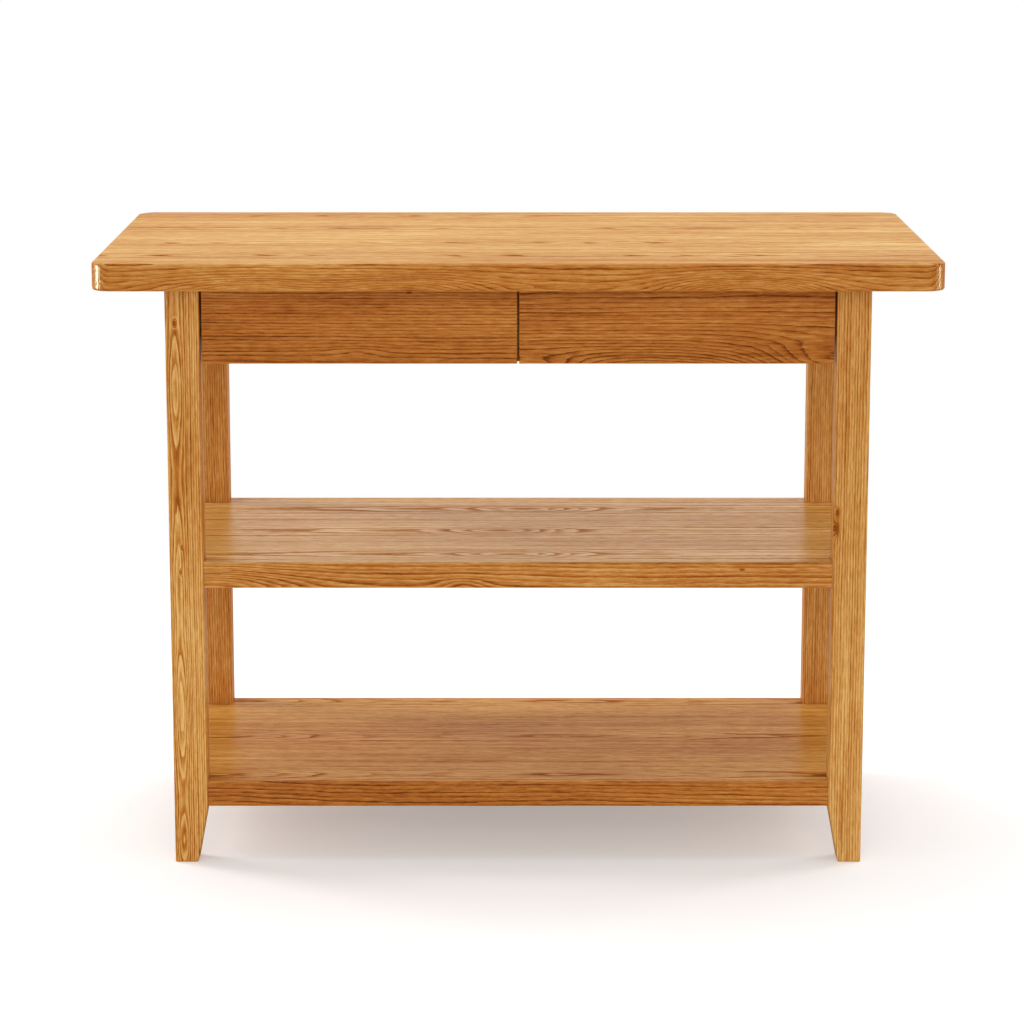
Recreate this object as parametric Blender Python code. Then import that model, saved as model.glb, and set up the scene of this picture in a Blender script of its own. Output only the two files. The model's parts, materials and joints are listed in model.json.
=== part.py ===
"""Free-standing kitchen island in solid ash: a thick top with rounded corners on four legs that
taper at the foot, two handleless drawers on ball-bearing slides, and two thick open shelves.

Metres, +Z up. The origin is on the floor under the middle of the top. +X runs along the top to
the right of someone facing the drawers, and the drawers open towards -Y.
"""

import math

import bmesh
import bpy
from mathutils import Matrix, Vector

# Worktop
TOP_LENGTH = 1.220
TOP_DEPTH = 0.610
TOP_THICKNESS = 0.040
TOP_HEIGHT = 0.915
TOP_CORNER_RADIUS = 0.028
TOP_EDGE_ROUND = 0.003
END_OVERHANG = 0.097
FRONT_OVERHANG = 0.078

# Legs
LEG_WIDTH = 0.050
LEG_DEPTH = 0.038
FOOT_WIDTH = 0.034

# Shelves, with the height of each upper face above the floor
SHELF_THICKNESS = 0.039
MIDDLE_SHELF_HEIGHT = 0.4605
LOWER_SHELF_HEIGHT = 0.1255
SHELF_SETBACK = 0.002

# Aprons, front rail and divider under the top
APRON_THICKNESS = 0.020
APRON_SETBACK = 0.005
FRONT_RAIL_THICKNESS = 0.020
FRONT_RAIL_DEPTH = 0.050
FRONT_RAIL_GAP = 0.002
DIVIDER_THICKNESS = 0.022
BATTEN_HEIGHT = 0.050
TENON_THICKNESS = 0.008
TENON_LENGTH = 0.018
TENON_SHOULDER = 0.015
DIVIDER_TENON_LENGTH = 0.010
RAIL_TENON_SHOULDER = 0.004

# Drawers
DRAWER_FRONT_HEIGHT = 0.1145
DRAWER_FRONT_THICKNESS = 0.020
DRAWER_FRONT_SETBACK = 0.001
DRAWER_GAP = 0.003
FINGER_DROP = 0.014
DRAWER_TOP_CLEARANCE = 0.006
DRAWER_REAR_CLEARANCE = 0.030
DRAWER_SIDE_THICKNESS = 0.014
DRAWER_BACK_THICKNESS = 0.012
DRAWER_BACK_INSET = 0.010
DRAWER_BACK_DROP = 0.006
DADO_DEPTH = 0.005
PANEL_THICKNESS = 0.006
PANEL_RISE = 0.008
PANEL_GROOVE_DEPTH = 0.006
PANEL_GROOVE_STOP = 0.003
DOVETAIL_DEPTH = 0.009
DOVETAIL_NECK = 0.006
DOVETAIL_TIP = 0.010

# Ball-bearing slides: three nested steel rails with a cage of balls between each pair
SLIDE_HEIGHT = 0.035
SLIDE_FRONT_GAP = 0.002
SLIDE_REAR_INSET = 0.025
RAIL_SHEET = 0.0012
RAIL_LIP = 0.0002
RAIL_MOUTH_GAP = 0.0006
CAGE_SHEET = 0.0008
CAGE_LENGTH = 0.165
BALL_DIAMETER = 0.0032
BALL_CLEARANCE = 0.0002
BALLS_PER_ROW = 4
BALL_END_MARGIN = 0.008
RACEWAY_HALF_ANGLE = math.radians(35)

# Shelf dowels, and the clips that hold the top down
DOWEL_DIAMETER = 0.008
DOWEL_LENGTH = 0.040
DOWEL_END_GAP = 0.001
DOWEL_CHAMFER = 0.001
CLIP_SHEET = 0.0018
CLIP_WIDTH = 0.018
CLIP_DROP = 0.012
CLIP_TONGUE = 0.008
CLIP_PAD = 0.020
CLIP_HOLE_DIAMETER = 0.005
CLIP_END_MARGIN = 0.080
CLIP_SLOT_DEPTH = 0.010
CLIP_SLOT_SLACK = 0.001

# Fits, edges and the number of facets on round forms
SEAT_GAP = 0.0003
EDGE_ROUND = 0.002
SMALL_EDGE_ROUND = 0.001
CUT_OVERRUN = 0.004
SAME = 0.00002
CORNER_STEPS = 10
RACEWAY_STEPS = 4
DOWEL_SIDES = 12
HOLE_SIDES = 12
BALL_SEGMENTS = 8
BALL_RINGS = 4
SHARP_ANGLE = math.radians(40)

# Places of the frame that follow from the sizes above
UNDERSIDE = TOP_HEIGHT - TOP_THICKNESS
SEAT_UNDER_TOP = UNDERSIDE - SEAT_GAP
LEG_OUTER_X = TOP_LENGTH / 2 - END_OVERHANG
LEG_INNER_X = LEG_OUTER_X - LEG_WIDTH
LEG_OUTER_Y = TOP_DEPTH / 2 - FRONT_OVERHANG
LEG_INNER_Y = LEG_OUTER_Y - LEG_DEPTH
TAPER_TOP_Z = LOWER_SHELF_HEIGHT - SHELF_THICKNESS

FRONT_FACE_Y = -LEG_OUTER_Y + DRAWER_FRONT_SETBACK
FRONT_BACK_Y = FRONT_FACE_Y + DRAWER_FRONT_THICKNESS
FRONT_TOP_Z = UNDERSIDE - DRAWER_GAP
FRONT_BOTTOM_Z = FRONT_TOP_Z - DRAWER_FRONT_HEIGHT

APRON_BOTTOM_Z = FRONT_BOTTOM_Z
APRON_OUTER_X = LEG_OUTER_X - APRON_SETBACK
APRON_INNER_X = APRON_OUTER_X - APRON_THICKNESS
REAR_APRON_BACK_Y = LEG_OUTER_Y - APRON_SETBACK
REAR_APRON_FRONT_Y = REAR_APRON_BACK_Y - APRON_THICKNESS
FRONT_RAIL_FRONT_Y = FRONT_BACK_Y + FRONT_RAIL_GAP
FRONT_RAIL_BACK_Y = FRONT_RAIL_FRONT_Y + FRONT_RAIL_DEPTH
FRONT_RAIL_BOTTOM_Z = SEAT_UNDER_TOP - FRONT_RAIL_THICKNESS

# Places of the drawers
SIDE_BOTTOM_Z = FRONT_BOTTOM_Z + FINGER_DROP
SIDE_TOP_Z = FRONT_RAIL_BOTTOM_Z - DRAWER_TOP_CLEARANCE
SIDE_FRONT_Y = FRONT_BACK_Y + SEAT_GAP
SIDE_REAR_Y = REAR_APRON_FRONT_Y - DRAWER_REAR_CLEARANCE
BACK_REAR_Y = SIDE_REAR_Y - DRAWER_BACK_INSET
PANEL_BOTTOM_Z = SIDE_BOTTOM_Z + PANEL_RISE
PANEL_TOP_Z = PANEL_BOTTOM_Z + PANEL_THICKNESS

# The slides' section, as depths from the mounting plane and heights from the slide's middle
SLIDE_Z = (SIDE_BOTTOM_Z + SIDE_TOP_Z) / 2
SLIDE_FRONT_Y = FRONT_BACK_Y + SLIDE_FRONT_GAP
SLIDE_BACK_Y = SIDE_REAR_Y - SLIDE_REAR_INSET
RACEWAY_RADIUS = BALL_DIAMETER / 2 + BALL_CLEARANCE + RAIL_SHEET / 2
RACEWAY_HALF_WIDTH = RACEWAY_RADIUS * math.sin(RACEWAY_HALF_ANGLE)
RACEWAY_LIFT = RACEWAY_RADIUS * math.cos(RACEWAY_HALF_ANGLE)
OUTER_CAGE_DEPTH = RAIL_SHEET + SEAT_GAP
MIDDLE_RAIL_DEPTH = OUTER_CAGE_DEPTH + CAGE_SHEET + SEAT_GAP
INNER_CAGE_DEPTH = MIDDLE_RAIL_DEPTH + RAIL_SHEET + SEAT_GAP
DRAWER_RAIL_EDGE = INNER_CAGE_DEPTH + CAGE_SHEET + SEAT_GAP
INNER_BALL_DEPTH = DRAWER_RAIL_EDGE + RAIL_LIP + RACEWAY_HALF_WIDTH
OUTER_BALL_DEPTH = INNER_BALL_DEPTH + 2 * RACEWAY_HALF_WIDTH
RAIL_EDGE = OUTER_BALL_DEPTH + RACEWAY_HALF_WIDTH + RAIL_LIP
SLIDE_WIDTH = RAIL_EDGE + RAIL_MOUTH_GAP + RAIL_SHEET
OUTER_BALL_HEIGHT = SLIDE_HEIGHT / 2 - RAIL_SHEET / 2 - RACEWAY_RADIUS
INNER_BALL_HEIGHT = OUTER_BALL_HEIGHT - 2 * RACEWAY_LIFT

SIDE_NAMES = {-1: "left", 1: "right"}
END_NAMES = {-1: "front", 1: "rear"}
SHELF_HEIGHTS = {"middle": MIDDLE_SHELF_HEIGHT, "lower": LOWER_SHELF_HEIGHT}


def clear_scene():
    """Removes every object, so that the model starts from an empty scene."""
    for obj in list(bpy.data.objects):
        bpy.data.objects.remove(obj, do_unlink=True)


def make_material(name, colour, roughness, metallic=0.0):
    """A plain Principled material of that colour."""
    made = bpy.data.materials.new(name)
    made.use_nodes = True
    shader = made.node_tree.nodes["Principled BSDF"]
    shader.inputs["Base Color"].default_value = (*colour, 1.0)
    shader.inputs["Roughness"].default_value = roughness
    shader.inputs["Metallic"].default_value = metallic
    return made


# Shapes, each a bmesh in the island's frame


def prism(outline, axis, start, end):
    """A closed solid: an outline drawn across an axis, extruded along it from start to end.

    The outline's points are (y, z) for axis X, (x, z) for axis Y and (x, y) for axis Z.
    """
    along = "XYZ".index(axis)
    across = [i for i in range(3) if i != along]
    shape = bmesh.new()
    ring = []
    for u, v in outline:
        point = Vector((0.0, 0.0, 0.0))
        point[across[0]] = u
        point[across[1]] = v
        point[along] = start
        ring.append(shape.verts.new(point))
    face = shape.faces.new(ring)
    grown = bmesh.ops.extrude_face_region(shape, geom=[face])["geom"]
    step = Vector((0.0, 0.0, 0.0))
    step[along] = end - start
    far_ring = [v for v in grown if isinstance(v, bmesh.types.BMVert)]
    bmesh.ops.translate(shape, verts=far_ring, vec=step)
    bmesh.ops.recalc_face_normals(shape, faces=shape.faces)
    return shape


def box(low, high):
    """A rectangular block between two corners."""
    outline = [(low[0], low[1]), (high[0], low[1]), (high[0], high[1]), (low[0], high[1])]
    return prism(outline, "Z", low[2], high[2])


def grown_box(low, high, margin):
    """A block larger than the one between two corners by a margin on every side."""
    return box([v - margin for v in low], [v + margin for v in high])


def circle(centre, radius, sides):
    """The points of a regular polygon inside a circle."""
    turn = 2 * math.pi / sides
    angles = [i * turn for i in range(sides)]
    return [(centre[0] + radius * math.cos(a), centre[1] + radius * math.sin(a)) for a in angles]


def rounded_rectangle(half_x, half_y, radius, steps):
    """A rectangle about the origin with a quarter circle at each corner."""
    points = []
    for quarter, (sign_x, sign_y) in enumerate(((1, 1), (-1, 1), (-1, -1), (1, -1))):
        centre_x = sign_x * (half_x - radius)
        centre_y = sign_y * (half_y - radius)
        for i in range(steps + 1):
            angle = math.pi / 2 * (quarter + i / steps)
            points.append((centre_x + radius * math.cos(angle), centre_y + radius * math.sin(angle)))
    return points


def round_edges(shape, radius, chosen, segments=2):
    """Rounds the edges whose two end points pass a test."""
    edges = [e for e in shape.edges if chosen(e.verts[0].co, e.verts[1].co)]
    bmesh.ops.bevel(
        shape,
        geom=edges,
        offset=radius,
        offset_type="OFFSET",
        segments=segments,
        profile=0.5,
        affect="EDGES",
    )
    return shape


def at(a, b, axis, value):
    """Whether an edge lies wholly at one value along an axis, on either side of the origin."""
    along = "XYZ".index(axis)
    return all(abs(abs(point[along]) - abs(value)) < SAME for point in (a, b))


def level(a, b):
    """Whether an edge is horizontal."""
    return abs(a.z - b.z) < SAME


def joined(shapes):
    """Several separate shapes in one bmesh."""
    whole = bmesh.new()
    for shape in shapes:
        mesh = bpy.data.meshes.new("shape")
        shape.to_mesh(mesh)
        shape.free()
        whole.from_mesh(mesh)
        bpy.data.meshes.remove(mesh)
    return whole


# Objects


def add(name, shape, material, origin, parent=None):
    """Makes the object of a piece, with its own origin at a point of the island's frame."""
    parent_at = parent.matrix_world.translation if parent else Vector((0.0, 0.0, 0.0))
    shape.transform(Matrix.Translation(-Vector(origin)))
    mesh = bpy.data.meshes.new(name)
    shape.to_mesh(mesh)
    shape.free()
    mesh.materials.append(material)
    mesh.shade_smooth()
    mesh.set_sharp_from_angle(angle=SHARP_ANGLE)
    obj = bpy.data.objects.new(name, mesh)
    obj.parent = parent
    obj.location = Vector(origin) - parent_at
    bpy.context.scene.collection.objects.link(obj)
    bpy.context.view_layer.update()
    return obj


def add_axis(name, origin):
    """An empty that carries the pieces of a moving body."""
    empty = bpy.data.objects.new(name, None)
    empty.location = origin
    bpy.context.scene.collection.objects.link(empty)
    bpy.context.view_layer.update()
    return empty


def combine(obj, operation, shape, label):
    """Cuts a shape out of an object, or joins it on, with a Boolean that stays on the object."""
    origin = obj.matrix_world.translation.copy()
    tool = add(f"{obj.name}.{label}", shape, obj.data.materials[0], origin, obj)
    tool.hide_render = True
    tool.display_type = "WIRE"
    boolean = obj.modifiers.new(label, "BOOLEAN")
    boolean.operation = operation
    boolean.solver = "EXACT"
    boolean.object = tool


# Tenons: each is the corners of a bar that runs through its board and out at the ends


def side_apron_tenon(side):
    middle = side * (APRON_OUTER_X - APRON_THICKNESS / 2)
    reach = LEG_INNER_Y + TENON_LENGTH
    low = (middle - TENON_THICKNESS / 2, -reach, APRON_BOTTOM_Z + TENON_SHOULDER)
    high = (middle + TENON_THICKNESS / 2, reach, SEAT_UNDER_TOP - TENON_SHOULDER)
    return low, high


def rear_apron_tenon():
    middle = REAR_APRON_BACK_Y - APRON_THICKNESS / 2
    reach = LEG_INNER_X + TENON_LENGTH
    low = (-reach, middle - TENON_THICKNESS / 2, APRON_BOTTOM_Z + TENON_SHOULDER)
    high = (reach, middle + TENON_THICKNESS / 2, SEAT_UNDER_TOP - TENON_SHOULDER)
    return low, high


def front_rail_tenon():
    reach = LEG_INNER_X + TENON_LENGTH
    front = FRONT_RAIL_FRONT_Y + RAIL_TENON_SHOULDER / 2
    back = -LEG_INNER_Y - RAIL_TENON_SHOULDER
    low = (-reach, front, FRONT_RAIL_BOTTOM_Z + RAIL_TENON_SHOULDER)
    high = (reach, back, SEAT_UNDER_TOP - RAIL_TENON_SHOULDER)
    return low, high


def divider_tenon():
    start = REAR_APRON_FRONT_Y - TENON_LENGTH
    end = REAR_APRON_FRONT_Y + DIVIDER_TENON_LENGTH
    low = (-TENON_THICKNESS / 2, start, APRON_BOTTOM_Z + TENON_SHOULDER)
    high = (TENON_THICKNESS / 2, end, SEAT_UNDER_TOP - TENON_SHOULDER)
    return low, high


# Dowels between the shelves and the legs


def dowel_centre(side, end, shelf_top):
    """Where a dowel crosses the joint between a leg's inner face and a shelf."""
    leg_middle_y = LEG_OUTER_Y - LEG_DEPTH / 2
    return Vector((side * LEG_INNER_X, end * leg_middle_y, shelf_top - SHELF_THICKNESS / 2))


def dowel_bar(centre, radius, length):
    outline = circle((centre.y, centre.z), radius, DOWEL_SIDES)
    return prism(outline, "X", centre.x - length / 2, centre.x + length / 2)


def dowel_hole(centre):
    return dowel_bar(centre, DOWEL_DIAMETER / 2 + SEAT_GAP, DOWEL_LENGTH + 2 * DOWEL_END_GAP)


def make_dowel(shelf, side, end, wood):
    """A short peg with chamfered ends, half in the leg and half in the shelf."""
    centre = dowel_centre(side, end, SHELF_HEIGHTS[shelf])
    shape = dowel_bar(centre, DOWEL_DIAMETER / 2, DOWEL_LENGTH)
    ends = [centre.x - DOWEL_LENGTH / 2, centre.x + DOWEL_LENGTH / 2]
    round_edges(shape, DOWEL_CHAMFER, lambda a, b: any(at(a, b, "X", x) for x in ends), segments=1)
    add(f"{shelf}_shelf_{END_NAMES[end]}_{SIDE_NAMES[side]}_dowel", shape, wood, centre)


# Frame


def make_tabletop(wood):
    outline = rounded_rectangle(TOP_LENGTH / 2, TOP_DEPTH / 2, TOP_CORNER_RADIUS, CORNER_STEPS)
    shape = prism(outline, "Z", UNDERSIDE, TOP_HEIGHT)
    round_edges(shape, TOP_EDGE_ROUND, level, segments=3)
    add("tabletop", shape, wood, (0.0, 0.0, UNDERSIDE))


def make_leg(side, end, wood):
    """A leg whose inner face slants in to a narrower foot, with its mortises and dowel holes."""
    outer = side * LEG_OUTER_X
    inner = side * LEG_INNER_X
    foot = side * (LEG_OUTER_X - FOOT_WIDTH)
    outline = [
        (outer, 0.0),
        (outer, SEAT_UNDER_TOP),
        (inner, SEAT_UNDER_TOP),
        (inner, TAPER_TOP_Z),
        (foot, 0.0),
    ]
    shape = prism(outline, "Y", end * LEG_INNER_Y, end * LEG_OUTER_Y)
    kept_sharp = (SEAT_UNDER_TOP, TAPER_TOP_Z)
    round_edges(shape, EDGE_ROUND, lambda a, b: not any(at(a, b, "Z", z) for z in kept_sharp))
    name = f"{END_NAMES[end]}_{SIDE_NAMES[side]}_leg"
    middle = ((outer + inner) / 2, end * (LEG_OUTER_Y + LEG_INNER_Y) / 2, 0.0)
    leg = add(name, shape, wood, middle)
    cross_tenon = rear_apron_tenon() if end > 0 else front_rail_tenon()
    combine(leg, "DIFFERENCE", grown_box(*side_apron_tenon(side), SEAT_GAP), "side_mortise")
    combine(leg, "DIFFERENCE", grown_box(*cross_tenon, SEAT_GAP), "cross_mortise")
    holes = [dowel_hole(dowel_centre(side, end, height)) for height in SHELF_HEIGHTS.values()]
    combine(leg, "DIFFERENCE", joined(holes), "dowel_holes")


def make_side_apron(side, wood):
    reach = LEG_INNER_Y - SEAT_GAP
    xs = sorted((side * APRON_OUTER_X, side * APRON_INNER_X))
    shape = box((xs[0], -reach, APRON_BOTTOM_Z), (xs[1], reach, SEAT_UNDER_TOP))
    lower_edges = lambda a, b: at(a, b, "Z", APRON_BOTTOM_Z) and abs(a.x - b.x) < SAME
    round_edges(shape, SMALL_EDGE_ROUND, lower_edges)
    name = SIDE_NAMES[side]
    apron = add(f"{name}_side_apron", shape, wood, ((xs[0] + xs[1]) / 2, 0.0, APRON_BOTTOM_Z))
    combine(apron, "UNION", box(*side_apron_tenon(side)), "tenons")
    slots = [clip_slot(place) for place in clip_places() if place["name"].startswith(name)]
    combine(apron, "DIFFERENCE", joined(slots), "clip_slots")


def make_rear_apron(wood):
    reach = LEG_INNER_X - SEAT_GAP
    low = (-reach, REAR_APRON_FRONT_Y, APRON_BOTTOM_Z)
    high = (reach, REAR_APRON_BACK_Y, SEAT_UNDER_TOP)
    shape = box(low, high)
    lower_edges = lambda a, b: at(a, b, "Z", APRON_BOTTOM_Z) and abs(a.y - b.y) < SAME
    round_edges(shape, SMALL_EDGE_ROUND, lower_edges)
    apron = add("rear_apron", shape, wood, (0.0, REAR_APRON_FRONT_Y, APRON_BOTTOM_Z))
    combine(apron, "UNION", box(*rear_apron_tenon()), "tenons")
    combine(apron, "DIFFERENCE", grown_box(*divider_tenon(), SEAT_GAP), "divider_mortise")
    slots = [clip_slot(place) for place in clip_places() if place["name"].startswith("rear")]
    combine(apron, "DIFFERENCE", joined(slots), "clip_slots")


def make_front_rail(wood):
    reach = LEG_INNER_X - SEAT_GAP
    low = (-reach, FRONT_RAIL_FRONT_Y, FRONT_RAIL_BOTTOM_Z)
    high = (reach, FRONT_RAIL_BACK_Y, SEAT_UNDER_TOP)
    rail = add("front_top_rail", box(low, high), wood, (0.0, FRONT_RAIL_FRONT_Y, FRONT_RAIL_BOTTOM_Z))
    combine(rail, "UNION", box(*front_rail_tenon()), "tenons")


def make_divider(wood):
    """The board between the drawers, notched over the front rail and tenoned into the rear apron."""
    front = FRONT_BACK_Y + SEAT_GAP
    back = REAR_APRON_FRONT_Y - SEAT_GAP
    notch_y = FRONT_RAIL_BACK_Y + SEAT_GAP
    notch_z = FRONT_RAIL_BOTTOM_Z - SEAT_GAP
    outline = [
        (front, APRON_BOTTOM_Z),
        (back, APRON_BOTTOM_Z),
        (back, SEAT_UNDER_TOP),
        (notch_y, SEAT_UNDER_TOP),
        (notch_y, notch_z),
        (front, notch_z),
    ]
    shape = prism(outline, "X", -DIVIDER_THICKNESS / 2, DIVIDER_THICKNESS / 2)
    divider = add("centre_divider", shape, wood, (0.0, front, APRON_BOTTOM_Z))
    combine(divider, "UNION", box(*divider_tenon()), "tenon")


def make_slide_batten(side, wood):
    """Packs a side apron out to the legs' inner faces, where a slide is screwed on."""
    xs = sorted((side * LEG_INNER_X, side * (APRON_INNER_X - SEAT_GAP)))
    reach = LEG_INNER_Y - SEAT_GAP
    low = (xs[0], -reach, SLIDE_Z - BATTEN_HEIGHT / 2)
    high = (xs[1], reach, SLIDE_Z + BATTEN_HEIGHT / 2)
    add(f"{SIDE_NAMES[side]}_slide_batten", box(low, high), wood, (side * LEG_INNER_X, 0.0, SLIDE_Z))


def make_shelf(name, wood):
    """A thick board notched round the four legs, with eased edges where it shows."""
    top = SHELF_HEIGHTS[name]
    outer_x = LEG_OUTER_X - SHELF_SETBACK
    outer_y = LEG_OUTER_Y - SHELF_SETBACK
    notch_x = LEG_INNER_X - SEAT_GAP
    notch_y = LEG_INNER_Y - SEAT_GAP
    quarter = [(outer_x, notch_y), (notch_x, notch_y), (notch_x, outer_y)]
    outline = (
        quarter
        + [(-x, y) for x, y in reversed(quarter)]
        + [(-x, -y) for x, y in quarter]
        + [(x, -y) for x, y in reversed(quarter)]
    )
    shape = prism(outline, "Z", top - SHELF_THICKNESS, top)
    shown_edges = lambda a, b: level(a, b) and (at(a, b, "Y", outer_y) or at(a, b, "X", outer_x))
    round_edges(shape, EDGE_ROUND, shown_edges)
    shelf = add(f"{name}_shelf", shape, wood, (0.0, 0.0, top))
    holes = [dowel_hole(dowel_centre(side, end, top)) for side in SIDE_NAMES for end in END_NAMES]
    combine(shelf, "DIFFERENCE", joined(holes), "dowel_holes")


# Steel clips that hook into slots in the aprons and are screwed to the top


def clip_places():
    """Where each clip sits: a point on an apron's inner face, and the way in from that face."""
    places = []
    slot_z = UNDERSIDE - CLIP_DROP
    along_side = LEG_INNER_Y - CLIP_END_MARGIN
    along_rear = LEG_INNER_X / 2
    for side, side_name in SIDE_NAMES.items():
        for end, end_name in END_NAMES.items():
            point = Vector((side * APRON_INNER_X, end * along_side, slot_z))
            inward = Vector((-side, 0.0, 0.0))
            places.append({"name": f"{side_name}_{end_name}", "point": point, "inward": inward})
        point = Vector((side * along_rear, REAR_APRON_FRONT_Y, slot_z))
        inward = Vector((0.0, -1.0, 0.0))
        places.append({"name": f"rear_{side_name}", "point": point, "inward": inward})
    return places


def turned(shape, place):
    """Turns a shape drawn with its inward side towards +X, and moves it to a clip's place."""
    angle = math.atan2(place["inward"].y, place["inward"].x)
    shape.transform(Matrix.Translation(place["point"]) @ Matrix.Rotation(angle, 4, "Z"))
    return shape


def clip_slot(place):
    half_height = CLIP_SHEET / 2 + SEAT_GAP
    half_width = CLIP_WIDTH / 2 + CLIP_SLOT_SLACK
    low = (-CLIP_SLOT_DEPTH, -half_width, -half_height)
    high = (CUT_OVERRUN, half_width, half_height)
    return turned(box(low, high), place)


def make_clip(place, steel):
    """A Z-shaped strip: a tongue in the slot, a riser, and a pad with a screw hole under the top."""
    face = SEAT_GAP
    riser = face + CLIP_SHEET
    pad_end = face + CLIP_PAD
    pad_top = CLIP_DROP - SEAT_GAP
    pad_under = pad_top - CLIP_SHEET
    half = CLIP_SHEET / 2
    outline = [
        (-CLIP_TONGUE, -half),
        (riser, -half),
        (riser, pad_under),
        (pad_end, pad_under),
        (pad_end, pad_top),
        (face, pad_top),
        (face, half),
        (-CLIP_TONGUE, half),
    ]
    shape = prism(outline, "Y", -CLIP_WIDTH / 2, CLIP_WIDTH / 2)
    clip = add(f"tabletop_clip_{place['name']}", turned(shape, place), steel, place["point"])
    hole_outline = circle(((riser + pad_end) / 2, 0.0), CLIP_HOLE_DIAMETER / 2, HOLE_SIDES)
    hole = prism(hole_outline, "Z", pad_under - CUT_OVERRUN, pad_top + CUT_OVERRUN)
    combine(clip, "DIFFERENCE", turned(hole, place), "screw_hole")


# Drawers: side is the drawer's side of the island, hand is the left or right of that drawer


def drawer_bay(side):
    """The mounting plane of each of a drawer's two slides, with the way from it to the drawer."""
    near = DIVIDER_THICKNESS / 2 + SEAT_GAP
    far = LEG_INNER_X - SEAT_GAP
    planes = sorted((side * near, side * far))
    return {-1: (planes[0], 1), 1: (planes[1], -1)}


def drawer_side_faces(side, hand):
    """The outer and inner face of a drawer side."""
    plane, inward = drawer_bay(side)[hand]
    outer = plane + inward * (SLIDE_WIDTH + SEAT_GAP)
    return outer, outer + inward * DRAWER_SIDE_THICKNESS


def drawer_inside(side):
    """The two inner faces of a drawer's sides, left first."""
    return sorted(drawer_side_faces(side, hand)[1] for hand in SIDE_NAMES)


def dovetail(side, hand, margin):
    """The plan of a side's dovetail tongue from its shoulder to its tip, grown by a margin."""
    outer, inner = drawer_side_faces(side, hand)
    middle = (outer + inner) / 2
    neck = DOVETAIL_NECK / 2 + margin
    tip = DOVETAIL_TIP / 2 + margin
    tip_y = SIDE_FRONT_Y - DOVETAIL_DEPTH - margin
    left = [(middle - neck, SIDE_FRONT_Y), (middle - tip, tip_y)]
    right = [(middle + tip, tip_y), (middle + neck, SIDE_FRONT_Y)]
    return left + right


def make_drawer_front(side, wood, axis):
    """A plain front, grooved from behind for the bottom panel and for the dovetail of each side."""
    xs = sorted((side * DRAWER_GAP / 2, side * (LEG_INNER_X - DRAWER_GAP)))
    shape = box((xs[0], FRONT_FACE_Y, FRONT_BOTTOM_Z), (xs[1], FRONT_BACK_Y, FRONT_TOP_Z))
    round_edges(shape, SMALL_EDGE_ROUND, lambda a, b: at(a, b, "Y", FRONT_FACE_Y))
    origin = ((xs[0] + xs[1]) / 2, FRONT_FACE_Y, FRONT_BOTTOM_Z)
    front = add(f"{SIDE_NAMES[side]}_drawer_front", shape, wood, origin, axis)
    behind = FRONT_BACK_Y + CUT_OVERRUN
    for hand, hand_name in SIDE_NAMES.items():
        groove = dovetail(side, hand, SEAT_GAP)
        outline = [(groove[0][0], behind), *groove, (groove[-1][0], behind)]
        cutter = prism(outline, "Z", FRONT_BOTTOM_Z - CUT_OVERRUN, SIDE_TOP_Z + SEAT_GAP)
        combine(front, "DIFFERENCE", cutter, f"{hand_name}_dovetail_groove")
    left, right = drawer_inside(side)
    low = (left, FRONT_BACK_Y - PANEL_GROOVE_DEPTH, PANEL_BOTTOM_Z - SEAT_GAP)
    high = (right, behind, PANEL_TOP_Z + SEAT_GAP)
    combine(front, "DIFFERENCE", box(low, high), "panel_groove")


def make_drawer_side(side, hand, wood, axis):
    """A side with a dovetail tongue, a stopped groove for the bottom and a housing for the back."""
    outer, inner = drawer_side_faces(side, hand)
    inward = drawer_bay(side)[hand][1]
    xs = sorted((outer, inner))
    outline = [
        (xs[0], SIDE_REAR_Y),
        (xs[0], SIDE_FRONT_Y),
        *dovetail(side, hand, 0.0),
        (xs[1], SIDE_FRONT_Y),
        (xs[1], SIDE_REAR_Y),
    ]
    shape = prism(outline, "Z", SIDE_BOTTOM_Z, SIDE_TOP_Z)
    name = f"{SIDE_NAMES[side]}_drawer_{SIDE_NAMES[hand]}_side"
    board = add(name, shape, wood, ((outer + inner) / 2, SIDE_FRONT_Y, SIDE_BOTTOM_Z), axis)
    open_x = inner + inward * CUT_OVERRUN
    groove_xs = sorted((inner - inward * PANEL_GROOVE_DEPTH, open_x))
    low = (groove_xs[0], SIDE_FRONT_Y + PANEL_GROOVE_STOP, PANEL_BOTTOM_Z - SEAT_GAP)
    high = (groove_xs[1], SIDE_REAR_Y + CUT_OVERRUN, PANEL_TOP_Z + SEAT_GAP)
    combine(board, "DIFFERENCE", box(low, high), "panel_groove")
    dado_xs = sorted((inner - inward * DADO_DEPTH, open_x))
    low = (dado_xs[0], BACK_REAR_Y - DRAWER_BACK_THICKNESS - SEAT_GAP, PANEL_TOP_Z)
    high = (dado_xs[1], BACK_REAR_Y + SEAT_GAP, SIDE_TOP_Z + CUT_OVERRUN)
    combine(board, "DIFFERENCE", box(low, high), "back_housing")


def make_drawer_back(side, wood, axis):
    left, right = drawer_inside(side)
    reach = DADO_DEPTH - SEAT_GAP
    low = (left - reach, BACK_REAR_Y - DRAWER_BACK_THICKNESS, PANEL_TOP_Z + SEAT_GAP)
    high = (right + reach, BACK_REAR_Y, SIDE_TOP_Z - DRAWER_BACK_DROP)
    origin = ((left + right) / 2, BACK_REAR_Y, PANEL_TOP_Z)
    add(f"{SIDE_NAMES[side]}_drawer_back", box(low, high), wood, origin, axis)


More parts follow.
